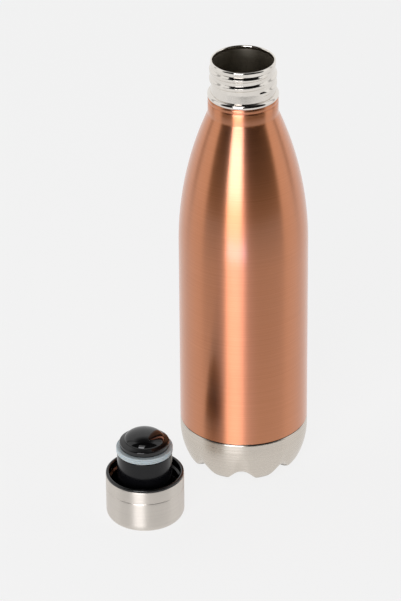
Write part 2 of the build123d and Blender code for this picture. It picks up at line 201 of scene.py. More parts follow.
def lathe_brushed(
    name, dark, light, rough, stretch, coat=0.0, coat_rough=0.1, seam=None, foot=None
):
    """Metal brushed while it turned on its own upright axis. Seam is the height and radius, in
    metres, of a dark line left where it meets the next piece. Foot is the height, in metres,
    below which painted shade darkens it towards the table."""
    n = Nodes(name)
    fine = n.noise(n.scaled((25, 25, 9000)), detail=2.0, rough=0.6)
    coarse = n.noise(n.scaled((9, 9, 1500)), detail=3.0, rough=0.6)
    cloud = n.noise(n.scaled((14, 14, 9)), detail=2.0)
    tone = n.maths("ADD", n.spread(coarse, -0.25, 0.25, 0.25, 0.75), cloud)
    tone = n.maths("ADD", tone, n.spread(fine, -0.3, 0.3, 0.25, 0.75))
    colour = n.blend(n.spread(tone, 0, 1), dark, light)
    # painted shade: the colour darkens towards the bottom of the foot, standing in for shade next
    # to the table
    if foot:
        shade_height = n.new("ShaderNodeSeparateXYZ")
        n.link(n.place, shade_height.inputs[0])
        foot_shading = n.spread(shade_height.outputs["Z"], 0.55, 0.0, 0.0005, foot)
        colour = n.blend(foot_shading, colour, PAINTED_FOOT_SHADE)
    if seam:
        colour = n.blend(n.near_seam(*seam), colour, SEAM_SHADE)
    n.set(
        Base_Color=colour,
        Metallic=1.0,
        Roughness=n.spread(coarse, rough - 0.03, rough + 0.03, 0.3, 0.7),
        Anisotropic=stretch,
        Anisotropic_Rotation=0.25,
        Tangent=n.round_tangent(),
        Coat_Weight=coat,
        Coat_Roughness=coat_rough,
        Normal=n.bump(fine, 0.00001, 0.35),
    )
    return n.material


def moulded(name, dark, light, rough, grain=0.00002, **more):
    """Moulded plastic: near-even colour, faint flow marks and handling marks in the gloss."""
    n = Nodes(name)
    flow = n.noise(n.scaled((60, 60, 25)), detail=3.0)
    skin = n.noise(n.scaled((900, 900, 900)), detail=2.0)
    marks = n.noise(n.scaled((180, 180, 700)), detail=4.0, rough=0.7)
    n.set(
        Base_Color=n.blend(n.spread(flow, 0, 1, 0.3, 0.7), dark, light),
        Roughness=n.spread(marks, rough * 0.8, rough * 1.35, 0.35, 0.7),
        Normal=n.bump(skin, grain, 0.15),
        **more,
    )
    return n.material


# ------------------------------------------------------------------ materials
# height and radius, in metres, of the joint between copper and steel
SEAM = (low_mm("outer_shell") * MM, radius_mm("outer_shell") * MM - 0.0003)
COPPER = lathe_brushed(
    "lacquered_copper",
    (0.54, 0.19, 0.075),
    (0.65, 0.25, 0.108),
    0.33,
    0.95,
    coat=0.9,
    coat_rough=0.2,
    seam=SEAM,
)
BASE_STEEL = lathe_brushed(
    "brushed_base_steel",
    (0.57, 0.515, 0.45),
    (0.70, 0.64, 0.57),
    0.28,
    0.85,
    seam=SEAM,
    # painted shade on the lowest 5 mm of the foot
    foot=0.005,
)
CAP_STEEL = lathe_brushed(
    "brushed_cap_steel", (0.60, 0.555, 0.51), (0.73, 0.68, 0.62), 0.36, 0.85
)
INNER_STEEL = lathe_brushed(
    "drawn_inner_steel", (0.36, 0.325, 0.265), (0.50, 0.455, 0.38), 0.42, 0.3
)
BLACK_DOME = moulded("glossy_black", (0.0035, 0.0033, 0.0035), (0.006, 0.0055, 0.006), 0.06)
BLACK_LINER = moulded("black_liner", (0.0015, 0.0015, 0.0015), (0.003, 0.0028, 0.0028), 0.2)
BLACK_PLUG = moulded(
    "satin_black", (0.003, 0.003, 0.0038), (0.0055, 0.0055, 0.0065), 0.16, 0.00004, IOR=1.37
)


def polished_steel():
    """Bright rolled steel: mirror finish with faint turning lines and a few smears."""
    n = Nodes("polished_neck_steel")
    turning = n.noise(n.scaled((20, 20, 6000)), detail=2.0)
    smear = n.noise(n.scaled((70, 70, 45)), detail=4.0, rough=0.65, distort=0.6)
    n.set(
        Base_Color=n.blend(
            n.spread(smear, 0, 1, 0.3, 0.7), (0.71, 0.67, 0.62), (0.83, 0.79, 0.735)
        ),
        Metallic=1.0,
        Roughness=n.spread(smear, 0.05, 0.13, 0.35, 0.75),
        Anisotropic=0.4,
        Anisotropic_Rotation=0.25,
        Tangent=n.round_tangent(),
        Normal=n.bump(turning, 0.000004, 0.3),
    )
    return n.material


def silicone_rubber():
    """Slightly translucent rubber, faintly cloudy."""
    n = Nodes("pale_silicone")
    cloud = n.noise(n.scaled((120, 120, 60)), detail=3.0)
    skin = n.noise(n.scaled((1400, 1400, 1400)), detail=2.0)
    n.set(
        Base_Color=n.blend(
            n.spread(cloud, 0, 1, 0.3, 0.7), (0.47, 0.53, 0.55), (0.55, 0.605, 0.62)
        ),
        Roughness=n.spread(cloud, 0.30, 0.42, 0.3, 0.7),
        Subsurface_Weight=0.25,
        Subsurface_Radius=(0.6, 0.8, 1.0),
        Subsurface_Scale=0.0012,
        IOR=1.41,
        Normal=n.bump(skin, 0.00002, 0.2),
    )
    return n.material


def cellular_foam():
    """Rigid foam with open pores."""
    n = Nodes("pale_foam")
    pore = n.cells(1500)
    dust = n.noise(n.scaled((250, 250, 250)), detail=4.0)
    n.set(
        Base_Color=n.blend(
            n.spread(pore, 1, 0, 0.1, 0.7), (0.58, 0.52, 0.37), (0.83, 0.78, 0.64)
        ),
        Roughness=n.spread(dust, 0.75, 0.95, 0.3, 0.7),
        Sheen_Weight=0.15,
        Sheen_Roughness=0.5,
        Normal=n.bump(pore, 0.0004, 0.6),
    )
    return n.material


def sintered_pellet():
    """Dull grey grain with stains."""
    n = Nodes("grey_sinter")
    grain = n.cells(4200)
    stain = n.noise(n.scaled((500, 500, 500)), detail=4.0)
    n.set(
        Base_Color=n.blend(stain, (0.10, 0.095, 0.09), (0.27, 0.26, 0.25)),
        Metallic=0.5,
        Roughness=n.spread(grain, 0.6, 0.85, 0.1, 0.7),
        Normal=n.bump(grain, 0.00015, 0.8),
    )
    return n.material


def glass_solder():
    """Dark glass with swirls and fine bubbles."""
    n = Nodes("grey_solder_glass")
    swirl = n.noise(n.scaled((700, 700, 700)), detail=4.0, distort=1.2)
    bubbles = n.cells(2600)
    n.set(
        Base_Color=n.blend(swirl, (0.05, 0.055, 0.06), (0.15, 0.16, 0.17)),
        Roughness=n.spread(bubbles, 0.12, 0.3, 0.05, 0.6),
        IOR=1.6,
        Normal=n.bump(bubbles, 0.00012, 0.4),
    )
    return n.material


# the pieces that keep their CAD mesh
FINISHES = {
    "base_disc": lathe_brushed(
        "turned_disc_steel", (0.46, 0.44, 0.41), (0.60, 0.58, 0.55), 0.34, 0.5
    ),
    "inner_base": lathe_brushed(
        "spun_floor_steel", (0.36, 0.33, 0.28), (0.50, 0.46, 0.40), 0.34, 0.5
    ),
    "getter_pan": lathe_brushed(
        "pressed_pan_steel", (0.30, 0.29, 0.28), (0.44, 0.43, 0.41), 0.42, 0.2
    ),
    "getter_pellet": sintered_pellet(),
    "vacuum_bead": glass_solder(),
    "foam_core": cellular_foam(),
    "insert_disc": moulded(
        "grey_insert", (0.16, 0.16, 0.165), (0.22, 0.22, 0.225), 0.42, 0.00005
    ),
}
for node, finish in FINISHES.items():
    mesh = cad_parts[node].data
    for index in range(len(mesh.materials)):
        mesh.materials[index] = finish


# ------------------------------------------------------------------ mesh helpers
# All outlines are (radius, height) points in millimetres.
SAME_POINT = 1e-4
ON_AXIS = 1e-6


def arc(cx, cz, radius_x, radius_z, start, end, steps):
    """Points on an arc, angles in degrees from +X towards +Z."""
    return [
        (
            cx + radius_x * math.cos(math.radians(start + (end - start) * i / steps)),
            cz + radius_z * math.sin(math.radians(start + (end - start) * i / steps)),
        )
        for i in range(steps + 1)
    ]


def run(start, end, steps):
    """Evenly spaced points on a straight line."""
    return [
        (
            start[0] + (end[0] - start[0]) * i / steps,
            start[1] + (end[1] - start[1]) * i / steps,
        )
        for i in range(steps + 1)
    ]


def outline(*parts):
    """Join runs and arcs, leaving out points that repeat."""
    points = []
    for part in parts:
        for point in part:
            if not points or math.dist(points[-1], point) > SAME_POINT:
                points.append(point)
    return points


def groove_line(radius, height, depth, half):
    """A shallow groove in a wall. Half gives its lower side from the edge in, as distances from
    the middle and depths."""
    below = [(radius - sunk, height - away) for away, sunk in half]
    above = [(radius - sunk, height + away) for away, sunk in reversed(half)]
    return [*below, (radius - depth, height), *above]


def ring_angles(segments):
    """Angles of a ring's segments, in radians."""
    return np.arange(segments) * 2 * math.pi / segments


def spun(points, segments):
    """An outline's radii and heights, with a column for each segment of a ring."""
    profile = np.array(points)
    return np.repeat(profile[:, :1], segments, 1), np.repeat(profile[:, 1:], segments, 1)


def rings_from(radius, height):
    """Rings of points from their radii and heights, a row for each ring."""
    angle = ring_angles(radius.shape[1])
    return np.stack([radius * np.cos(angle), radius * np.sin(angle), height], 2)


def wall_mask(lower, wall, upper):
    """True in the wall's rows of an outline made of three parts, as one column."""
    return np.repeat([False, True, False], [len(lower), len(wall), len(upper)])[:, None]


def grid_piece(name, rings, centre, body, material, replaced, caps=False, sharp=35):
    """A closed solid from rings of points (count, segments, 3) in millimetres about the axis.
    With caps, the first and last rings shrink to a point each; otherwise they join up."""
    rings = np.asarray(rings, float) * MM
    count, segments, _ = rings.shape
    points = [tuple(p) for p in rings.reshape(-1, 3)]
    faces = []
    step = range(count - 1) if caps else range(count)
    for i in step:
        below, above = i * segments, (i + 1) % count * segments
        for j in range(segments):
            k = (j + 1) % segments
            faces.append((below + j, below + k, above + k, above + j))
    if caps:
        for i, turn in ((0, -1), (count - 1, 1)):
            points.append(tuple(rings[i].mean(0)))
            tip = len(points) - 1
            start = i * segments
            for j in range(segments):
                edge = (start + j, start + (j + 1) % segments)
                faces.append((tip, *edge[::turn]))
    mesh = bpy.data.meshes.new(name)
    mesh.from_pydata(points, [], faces)
    mesh.validate()
    work = bmesh.new()
    work.from_mesh(mesh)
    bmesh.ops.recalc_face_normals(work, faces=work.faces)
    work.to_mesh(mesh)
    work.free()
    mesh.polygons.foreach_set("use_smooth", [True] * len(mesh.polygons))
    mesh.set_sharp_from_angle(angle=math.radians(sharp))
    mesh.materials.append(material)
    piece = bpy.data.objects.new(name, mesh)
    piece.location = (*centre, 0)
    bpy.context.scene.collection.objects.link(piece)
    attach(piece, body)
    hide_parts(*replaced)
    return piece


def turned(name, points, centre, body, material, replaced, segments=240, sharp=35):
    """A closed outline of (radius, height) points turned round the axis. An outline that starts
    and ends on the axis gives a solid with a pole at each end."""
    solid = points[0][0] < ON_AXIS
    if solid:
        points = points[1:-1]
    elif math.dist(points[0], points[-1]) < SAME_POINT:
        points = points[:-1]
    rings = rings_from(*spun(points, segments))
    return grid_piece(name, rings, centre, body, material, replaced, solid, sharp)


# ------------------------------------------------------------------ copper shell
body_radius = radius_mm("outer_shell")
joint_height = low_mm("outer_shell")
collar_top = top_mm("outer_shell")
collar_radius = 19.35
shoulder_start = 140.3
shoulder_arc = 203.1
shell_wall = 0.6
waist_bend = 4.0
press_gap = 0.03
# how far in and how high the points of the rolled bottom edge are
edge_inset = 0.45
edge_points = [(edge_inset, 0.0), (0.35, 0.2), (0.12, 0.3)]
edge_height = 0.42


def waist(inset):
    """The rounding where the shoulder turns up into the collar: arc centre and angles."""
    wall = collar_radius - inset
    bend = waist_bend + inset
    centre_radius = wall + bend
    reach = shoulder_arc - inset + bend
    side = centre_radius - body_radius + shoulder_arc
    angle = math.degrees(math.acos(side / reach))
    height = shoulder_start + reach * math.sin(math.radians(angle))
    return centre_radius, height, bend, angle


def shell_wall_line(inset):
    """Outer shell's wall from the bottom edge up to the collar, moved in by inset."""
    centre_radius, height, bend, angle = waist(inset)
    big = shoulder_arc - inset
    centre = body_radius - shoulder_arc
    wall = body_radius - inset
    return outline(
        run((wall, joint_height + edge_height), (wall, shoulder_start), 60),
        arc(centre, shoulder_start, big, big, 0, angle, 90),
        arc(centre_radius, height, bend, bend, 180 + angle, 180, 10),
    )


edge_round = 1.1
collar_edge = arc(
    collar_radius - edge_round, collar_top - edge_round, edge_round, edge_round, 0, 78, 10
)
groove_half = 0.42
collar_groove = groove_line(
    collar_radius,
    228.1,
    0.33,
    [(groove_half + 0.12, 0), (groove_half, 0.05), (groove_half * 0.45, 0.25)],
)
inner_line = shell_wall_line(shell_wall)
shell_profile = outline(
    [(body_radius - inset, joint_height + lift) for inset, lift in edge_points],
    shell_wall_line(0),
    collar_groove,
    collar_edge,
    [(collar_radius - shell_wall, collar_top)],
    inner_line[::-1],
    [(body_radius - shell_wall, joint_height), (body_radius - edge_inset, joint_height)],
)
turned(
    "copper_shell",
    shell_profile,
    BOTTLE,
    "bottle",
    COPPER,
    ["outer_shell"],
    segments=320,
)


# ------------------------------------------------------------------ petal base
def soft_max(a, b, width):
    """The larger of two values, with the corner between them rounded over a width."""
    h = np.clip(0.5 + 0.5 * (a - b) / width, 0, 1)
    return b * (1 - h) + a * h + width * h * (1 - h)


# the foot cup's form: a bulging flank down to a soft foot, cut by a valley between each two
# petals, which runs level under the hub, bends, and climbs out through the flank
PETALS = 8
petal_turn = math.radians(-92.2)
flank_arc, flank_top, foot_soft = 41.7, 24.2, 6.4
valley_hub, valley_bend, valley_slope = 7.2, 7.45, 1.19
valley_tube, valley_exit, valley_soft = 7.75, 15.8, 1.3
hub_height, hub_radius, hub_taper = 7.4, 11.0, 0.62
hub_steepness, hub_soft = 0.85, 0.8
base_wall = 0.8
# the rays start this high on the axis, and the face lies between these distances along them
ray_start, ray_near, ray_far, halvings = 30.0, 5.0, 60.0, 30
rim_drop, inner_rim_drop = 1.1, 2.2


def foot_field(x, y, z):
    """Below zero inside the foot cup's outer form, above zero outside it."""
    r = np.hypot(x, y)
    bulge = np.hypot(r - body_radius + flank_arc, z - flank_top) - flank_arc
    flank = np.where(z < flank_top, bulge, r - body_radius)
    cup = soft_max(flank, -z, foot_soft)
    step = 2 * np.pi / PETALS
    turn = (np.arctan2(y, x) - petal_turn + step / 2) % step - step / 2
    out, across = r * np.cos(turn), r * np.sin(turn)
    exit_radius = (
        body_radius - flank_arc + math.sqrt(flank_arc**2 - (flank_top - valley_exit) ** 2)
    )
    up, along = math.sin(valley_slope), math.cos(valley_slope)
    line_x = exit_radius + valley_tube * up
    line_z = valley_exit - valley_tube * along
    low = valley_hub - valley_tube
    bend = valley_bend + valley_tube
    turn_x = line_x + (low - line_z) / up * along - bend * math.tan(valley_slope / 2)
    turn_z = low + bend
    end_x, end_z = turn_x + bend * up, turn_z - bend * along
    far = 1e3
    level = np.where(out < turn_x, np.abs(z - low), far)
    angle = np.arctan2(out - turn_x, turn_z - z)
    corner = np.where(
        (angle >= 0) & (angle <= valley_slope),
        np.abs(np.hypot(out - turn_x, z - turn_z) - bend),
        far,
    )
    ahead = (out - end_x) * along + (z - end_z) * up
    rise = np.where(ahead > 0, np.abs((z - end_z) * along - (out - end_x) * up), far)
    valley = valley_tube - np.hypot(np.minimum(np.minimum(level, corner), rise), across)
    pressed = soft_max(cup, valley, valley_soft)
    hub_side = (hub_radius + (hub_height - z) * hub_taper - r) * hub_steepness
    return soft_max(pressed, np.minimum(hub_height - z, hub_side), hub_soft)


def foot_rings(segments, rows):
    """Outer face of the foot cup, found by halving along rays from a point inside it, at even
    steps of tilt from straight down to level."""
    tilt = np.radians(np.linspace(2.0, 90.0, rows))
    tilt, angle = np.meshgrid(tilt, ring_angles(segments), indexing="ij")
    aim = np.stack([np.sin(tilt) * np.cos(angle), np.sin(tilt) * np.sin(angle), -np.cos(tilt)])
    near, away = np.full(tilt.shape, ray_near), np.full(tilt.shape, ray_far)
    for _ in range(halvings):
        mid = (near + away) / 2
        outside = foot_field(aim[0] * mid, aim[1] * mid, ray_start + aim[2] * mid) > 0
        away = np.where(outside, mid, away)
        near = np.where(outside, near, mid)
    reach = (near + away) / 2
    points = np.stack([aim[0] * reach, aim[1] * reach, ray_start + aim[2] * reach], 2)
    return points[points[:, 0, 2] < joint_height - rim_drop]


def foot_slope(points, gap=0.02):
    """Outward directions of the foot cup's face."""
    axes = np.eye(3) * gap
    x, y, z = np.moveaxis(points, 2, 0)
    slope = np.stack(
        [
            foot_field(x + a[0], y + a[1], z + a[2]) - foot_field(x - a[0], y - a[1], z - a[2])
            for a in axes
        ],
        2,
    )
    return slope / np.maximum(np.linalg.norm(slope, axis=2, keepdims=True), 1e-9)


foot_segments = 384
outer_face = foot_rings(foot_segments, 190)
inner_face = outer_face - foot_slope(outer_face) * base_wall
# the inner face keeps to the wall's inside and never folds under the outer one
inner_face[..., 2] = np.maximum(inner_face[..., 2], outer_face[..., 2] + 0.05)


spigot_top = top_mm("outer_base")
spigot_radius = body_radius - shell_wall - press_gap
spigot_wall = 0.6
rim_points = [
    (body_radius, joint_height - 0.95),
    (body_radius - 0.02, joint_height - 0.85),
    (body_radius - 0.36, joint_height - 0.2),
    (body_radius - edge_inset, joint_height - 0.14),
    (body_radius - 0.5, joint_height),
    (spigot_radius, joint_height),
    (spigot_radius, spigot_top),
    (spigot_radius - spigot_wall, spigot_top),
    (spigot_radius - spigot_wall, joint_height - 1.2),
    (body_radius - base_wall, joint_height - 1.8),
]
rim = rings_from(*spun(rim_points, foot_segments))
keep_inner = inner_face[inner_face[:, 0, 2] < joint_height - inner_rim_drop]
base_rings = np.concatenate([outer_face, rim, keep_inner[::-1]])
grid_piece(
    "petal_base",
    base_rings,
    BOTTLE,
    "bottle",
    BASE_STEEL,
    ["outer_base"],
    caps=True,
    sharp=40,
)


# ------------------------------------------------------------------ threads
def smooth(value):
    """Ease in and out between 0 and 1."""
    value = np.clip(value, 0, 1)
    return value * value * (3 - 2 * value)


PITCH, NECK_TURNS, LINER_TURNS = 5.4, 2.1, 1.25
CREST_WIDTH, BASE_WIDTH = 1.5, 3.4
FADE_DEGREES = 35
first_angle = -65.0
first_height = 238.5 + PITCH * first_angle / 360


def ridge_height(segments, height, start_angle, start_height, turns, depth):
    """How far a single helical ridge stands out at each segment and height."""
    angle = np.degrees(ring_angles(segments))[None, :]
    total = np.zeros(height.shape)
    for lap in range(-1, int(turns) + 3):
        along = angle - start_angle + 360 * lap
        gap = np.abs(height - start_height - PITCH * along / 360)
        rise = np.clip((BASE_WIDTH / 2 - gap) / ((BASE_WIDTH - CREST_WIDTH) / 2), 0, 1)
        fade = smooth(along / FADE_DEGREES) * smooth((360 * turns - along) / FADE_DEGREES)
        total = np.maximum(total, depth * rise * fade)
    return total


# ------------------------------------------------------------------ neck
mouth_top = top_mm("neck_finish")
flange_radius = radius_mm("neck_finish")
neck_root, lip_radius, mouth_radius = 17.5, 17.9, 16.7
flare_top, lip_bottom, trim_height = 237.2, mouth_top - 2.8, 249.3
skirt_bottom = low_mm("neck_finish")
skirt_radius = collar_radius - shell_wall - press_gap
neck_bore = 17.15
flare_radius, flare_slope = 17.6, 0.08
row_step = 0.08
lip_round, lip_inner_depth = 0.9, 1.9
bead_radius, bead_height, bead_end = 1.75, 232.0, 86.0
bead_centre = flange_radius - bead_radius
bead_start = -math.degrees(math.asin((bead_height - collar_top) / bead_radius))
bead_line = arc(bead_centre, bead_height, bead_radius, bead_radius, bead_start, bead_end, 26)
wall_rows = [
    (max(neck_root, flare_radius + flare_slope * (flare_top - z)), z)
    for z in np.arange(bead_line[-1][1] + 0.06, lip_bottom - 0.32, row_step)
]
lip_bulge = (lip_radius - mouth_radius) / 2
neck_lower = outline(
    run((neck_bore, skirt_bottom), (skirt_radius, skirt_bottom), 2),
    run((skirt_radius, skirt_bottom), (skirt_radius, collar_top), 4),
    run((skirt_radius, collar_top), (bead_line[0][0] - 0.02, collar_top), 2),
    bead_line,
)
neck_upper = outline(
    run((neck_root, lip_bottom - 0.3), (lip_radius - 0.08, lip_bottom), 3),
    run((lip_radius, lip_bottom + 0.2), (lip_radius, mouth_top - 0.95), 6),
    arc(
        (lip_radius + mouth_radius) / 2, mouth_top - lip_round, lip_bulge, lip_round, 0, 180, 18
    ),
    run((mouth_radius, mouth_top - 0.95), (mouth_radius, mouth_top - lip_inner_depth), 2),
    run((neck_bore, mouth_top - lip_inner_depth), (neck_bore, skirt_bottom + 1), 4),
)
neck_segments = 360
radius, height = spun(neck_lower + wall_rows + neck_upper, neck_segments)
ridge = ridge_height(neck_segments, height, first_angle, first_height, NECK_TURNS, 1.0)
# the groove turned under the lip trims the thread's last stretch
ridge = np.minimum(ridge, np.clip(trim_height - height, 0, None))
stands = np.where(wall_mask(neck_lower, wall_rows, neck_upper), neck_root + ridge, 0)
radius = np.maximum(radius, stands)
grid_piece(
    "threaded_neck",
    rings_from(radius, height),
    BOTTLE,
    "bottle",
    polished_steel(),
    ["neck_finish"],
    sharp=40,
)

# ------------------------------------------------------------------ inner bottle
vacuum_gap, inner_wall = 3.6, 0.45
vessel_seam = low_mm("inner_vessel")
vessel_top = top_mm("inner_vessel")
inner_shoulder_end = 24.0
throat_radius, throat_bend, throat_start = 15.45, 206.0, 209.5
seat_top = 214.2


def soft_bend(start, corner, end, steps=12):
    """Points on a curve from start to end that heads for the corner at both ends."""
    points = []
    for t in (i / steps for i in range(steps + 1)):
        shares = ((1 - t) ** 2, 2 * t * (1 - t), t * t)
        points.append(
            tuple(
                sum(share * point[k] for share, point in zip(shares, (start, corner, end)))
                for k in (0, 1)
            )
        )
    return points


def vessel_line(inset):
    """Inner bottle's wall from its bottom seam up to the mouth, moved in by inset."""
    gap = vacuum_gap + inset
    wall = body_radius - gap
    big = shoulder_arc - gap
    centre = body_radius - shoulder_arc
    angle = math.degrees(math.acos((inner_shoulder_end - inset - centre) / big))
    shoulder = arc(centre, shoulder_start, big, big, 0, angle, 40)
    throat = throat_radius - inset
    neck = neck_bore - inset
    seat_foot = seat_top - neck + throat
    return outline(
        run((wall, vessel_seam), (wall, shoulder_start), 20),
        shoulder,
        soft_bend(shoulder[-1], (throat, throat_bend), (throat, throat_start)),
        run((throat, throat_start), (throat, seat_foot), 3),
        run((throat, seat_foot), (neck, seat_top), 3),
        run((neck, seat_top), (neck, vessel_top), 10),
    )


turned(
    "inner_bottle",
    outline(vessel_line(0), vessel_line(inner_wall)[::-1], [vessel_line(0)[0]]),
    BOTTLE,
    "bottle",
    INNER_STEEL,
    ["inner_vessel"],
    segments=200,
)

# ------------------------------------------------------------------ cap shell
cap_radius = radius_mm("cap_shell")
rim_height = top_mm("cap_shell")
edge = 4.5
cap_wall = 0.5
rim_round = 0.2
cap_groove, groove_reach = 19.3, 0.5
cap_points = outline(
    [(0, 0)],
    run((0.5, 0), (cap_radius - edge, 0), 8),
    arc(cap_radius - edge, edge, edge, edge, -90, 0, 24),
    run((cap_radius, edge), (cap_radius, cap_groove - groove_reach), 14),
    groove_line(cap_radius, cap_groove, 0.19, [(groove_reach, 0), (0.36, 0.03), (0.2, 0.13)]),
    run((cap_radius, cap_groove + 0.6), (cap_radius, rim_height - rim_round), 6),
    arc(cap_radius - rim_round, rim_height - rim_round, rim_round, rim_round, 0, 90, 5),
    [(cap_radius - cap_wall, rim_height)],
    run((cap_radius - cap_wall, rim_height), (cap_radius - cap_wall, edge), 10),
    arc(cap_radius - edge, edge, edge - cap_wall, edge - cap_wall, 0, -90, 16),
    [(0, cap_wall)],
)
turned(
    "cap_cup",
    cap_points,
    CAP,
    "cap",
    CAP_STEEL,
    ["cap_shell"],
    segments=256,
)

# ------------------------------------------------------------------ cap liner
lip_top = top_mm("cap_liner")
roof_low = low_mm("cap_liner")
lip_out, lip_in, bore_radius, roof_top = cap_radius - 0.1, 19.9, 18.95, 3.2
lip_width, lip_drop = 0.85, 0.8
counterbore, counterbore_slope = 23.4, 0.9
closed_height = 256.9
liner_radius = cap_radius - cap_wall - 0.05
liner_shelf = rim_height + 0.02
corner = edge - (cap_radius - liner_radius)
start = -math.degrees(math.asin((edge - roof_low) / corner))
liner_lower = outline(
    [(0.5, roof_low)],
    arc(cap_radius - edge, edge, corner, corner, start, 0, 10),
    run((liner_radius, edge), (liner_radius, liner_shelf), 8),
    run((liner_radius, liner_shelf), (lip_out, liner_shelf), 2),
    run((lip_out, liner_shelf), (lip_out, lip_top - lip_drop), 2),
    arc(lip_out - lip_width, lip_top - lip_drop, lip_width, lip_drop, 0, 90, 10),
    arc(lip_in + lip_width, lip_top - lip_drop, lip_width, lip_drop, 90, 180, 10),
    run((lip_in, lip_top - lip_drop), (lip_in, counterbore), 10),
    run((lip_in, counterbore), (bore_radius, counterbore - counterbore_slope), 4),
)
liner_wall = [(bore_radius, z) for z in np.arange(counterbore - 1.0, roof_top + 0.3, -0.12)]
liner_upper = outline([(bore_radius, roof_top), (bore_radius - 1, roof_top)], [(0.5, roof_top)])
liner_segments = 300
radius, height = spun(liner_lower + liner_wall + liner_upper, liner_segments)
# the liner's ridge runs half a pitch from the neck's when the cap, turned over, is screwed down
ridge = ridge_height(
    liner_segments,
    height,
    -first_angle - 360 * NECK_TURNS,
    closed_height - first_height - PITCH * (NECK_TURNS - 0.5),
    LINER_TURNS,
    0.95,
)
radius = np.where(wall_mask(liner_lower, liner_wall, liner_upper), radius - ridge, radius)
grid_piece(
    "threaded_liner",
    rings_from(radius, height),
    CAP,
    "cap",
    BLACK_LINER,
    ["cap_liner"],
    caps=True,
    sharp=40,
)

# ------------------------------------------------------------------ stopper plug
plug_radius = radius_mm("stopper_plug")
plug_top, neck_top = 41.0, top_mm("stopper_plug")
plug_bottom = low_mm("stopper_plug")
plug_wall, plug_round = 1.5, 0.6
plug_neck, plug_bore = 12.7, plug_radius - plug_wall
neck_inside, plug_ceiling = plug_neck - 1.3, plug_top - plug_wall
plug_edge = plug_top - plug_round
turned(
    "plug_body",
    outline(
        run((plug_bore, plug_bottom), (plug_radius, plug_bottom), 2),
        run((plug_radius, plug_bottom), (plug_radius, plug_edge), 20),
        arc(plug_radius - plug_round, plug_edge, plug_round, plug_round, 0, 90, 8),
        run((plug_radius - plug_round, plug_top), (plug_neck, plug_top), 3),
        run((plug_neck, plug_top), (plug_neck, neck_top), 4),
        run((plug_neck, neck_top), (neck_inside, neck_top), 2),
        run((neck_inside, neck_top), (neck_inside, plug_ceiling), 4),
        run((neck_inside, plug_ceiling), (plug_bore, plug_ceiling), 3),
        run((plug_bore, plug_ceiling), (plug_bore, plug_bottom), 12),
    ),
    CAP,
    "cap",
    BLACK_PLUG,
    ["stopper_plug"],
    segments=200,
)

# ------------------------------------------------------------------ silicone seal
seal_radius = radius_mm("seal_ring")
seal_low, seal_high = low_mm("seal_ring"), top_mm("seal_ring")
RIBS = 3
rib = (seal_high - seal_low) / (2 * RIBS)
rib_depth, rib_fill = 0.62, 0.94
seal_face = seal_radius - 0.75
seal_bore = plug_neck + 0.05
seal_points = [(seal_bore, seal_low), (seal_face, seal_low)]
for index in range(RIBS):
    rib_height = seal_low + rib * (1 + 2 * index)
    seal_points += arc(
        seal_radius - rib_depth, rib_height, rib_depth, rib * rib_fill, -78, 78, 12
    )
seal_points += [(seal_face, seal_high), (seal_bore, seal_high)]
seal_points += run((seal_bore, seal_high), (seal_bore, seal_low), 3)[1:]
turned(
    "silicone_seal",
    outline(seal_points),
    CAP,
    "cap",
    silicone_rubber(),
    ["seal_ring"],
    segments=220,
    sharp=60,
)

# ------------------------------------------------------------------ dome
dome_flange = radius_mm("stopper_dome")
dome_top = top_mm("stopper_dome")
flange_low, flange_high, crown_radius = 44.6, 48.5, 11.1
skirt, skirt_wall = plug_neck - 1.35, 1.2
skirt_end, skirt_inside = plug_top + 1, skirt - skirt_wall
socket_radius, socket_top = seal_bore, neck_top + 0.3
hollow_base, hollow_top = flange_high - 1.0, dome_top - 1.5
flange_round, flange_foot_round = 0.6, 0.5
flange_edge = flange_high - 0.8
round_height = flange_edge - flange_round
turned(
    "glossy_dome",
    outline(
        [(0, dome_top)],
        arc(0, flange_high, crown_radius, dome_top - flange_high, 89.2, 2, 46),
        # the crease at the crown's foot
        [(crown_radius + 0.02, flange_high - 0.12)],
        arc(dome_flange - flange_round, round_height, flange_round, flange_round, 72, 0, 12),
        run((dome_flange, round_height), (dome_flange, flange_low + flange_foot_round), 6),
        arc(
            dome_flange - flange_foot_round,
            flange_low + flange_foot_round,
            flange_foot_round,
            flange_foot_round,
            0,
            -90,
            8,
        ),
        run((dome_flange - flange_foot_round, flange_low), (socket_radius, flange_low), 3),
        run((socket_radius, flange_low), (socket_radius, socket_top), 2),
        run((socket_radius, socket_top), (skirt, socket_top), 2),
        run((skirt, socket_top), (skirt, skirt_end), 3),
        run((skirt, skirt_end), (skirt_inside, skirt_end), 2),
        arc(0, hollow_base, skirt_inside, hollow_top - hollow_base, 0, 89.2, 24),
        [(0, hollow_top)],
    ),
    CAP,
    "cap",
    BLACK_DOME,
    ["stopper_dome"],
    segments=240,
    sharp=50,
)


# ------------------------------------------------------------------ camera
# radians down from level, round to the left and over; then millimetres of lens and sensor, and
# metres behind the bottle's axis and above the table
pitch, yaw, roll = 0.5174, 0.01252, -0.00809
LENS, SENSOR = 236.6, 36.0
CAMERA_BACK, CAMERA_HEIGHT = 1.92175, 1.19592
side = Vector((math.cos(yaw), math.sin(yaw), 0))
ahead = Vector(
    (-math.sin(yaw) * math.cos(pitch), math.cos(yaw) * math.cos(pitch), -math.sin(pitch))
)
upward = Vector(
    (-math.sin(yaw) * math.sin(pitch), math.cos(yaw) * math.sin(pitch), math.cos(pitch))
)
right = math.cos(roll) * side + math.sin(roll) * upward
top = -math.sin(roll) * side + math.cos(roll) * upward
camera_data = bpy.data.cameras.new("camera")
camera_data.sensor_width = SENSOR
camera_data.lens = LENS
camera_data.clip_start = 0.05
camera_data.clip_end = 60.0
camera = bpy.data.objects.new("camera", camera_data)
turn = Matrix((right, top, -ahead)).transposed().to_4x4()
stand = Matrix.Translation((BOTTLE[0], BOTTLE[1] - CAMERA_BACK, CAMERA_HEIGHT))
camera.matrix_world = stand @ turn
bpy.context.scene.collection.objects.link(camera)
bpy.context.scene.camera = camera


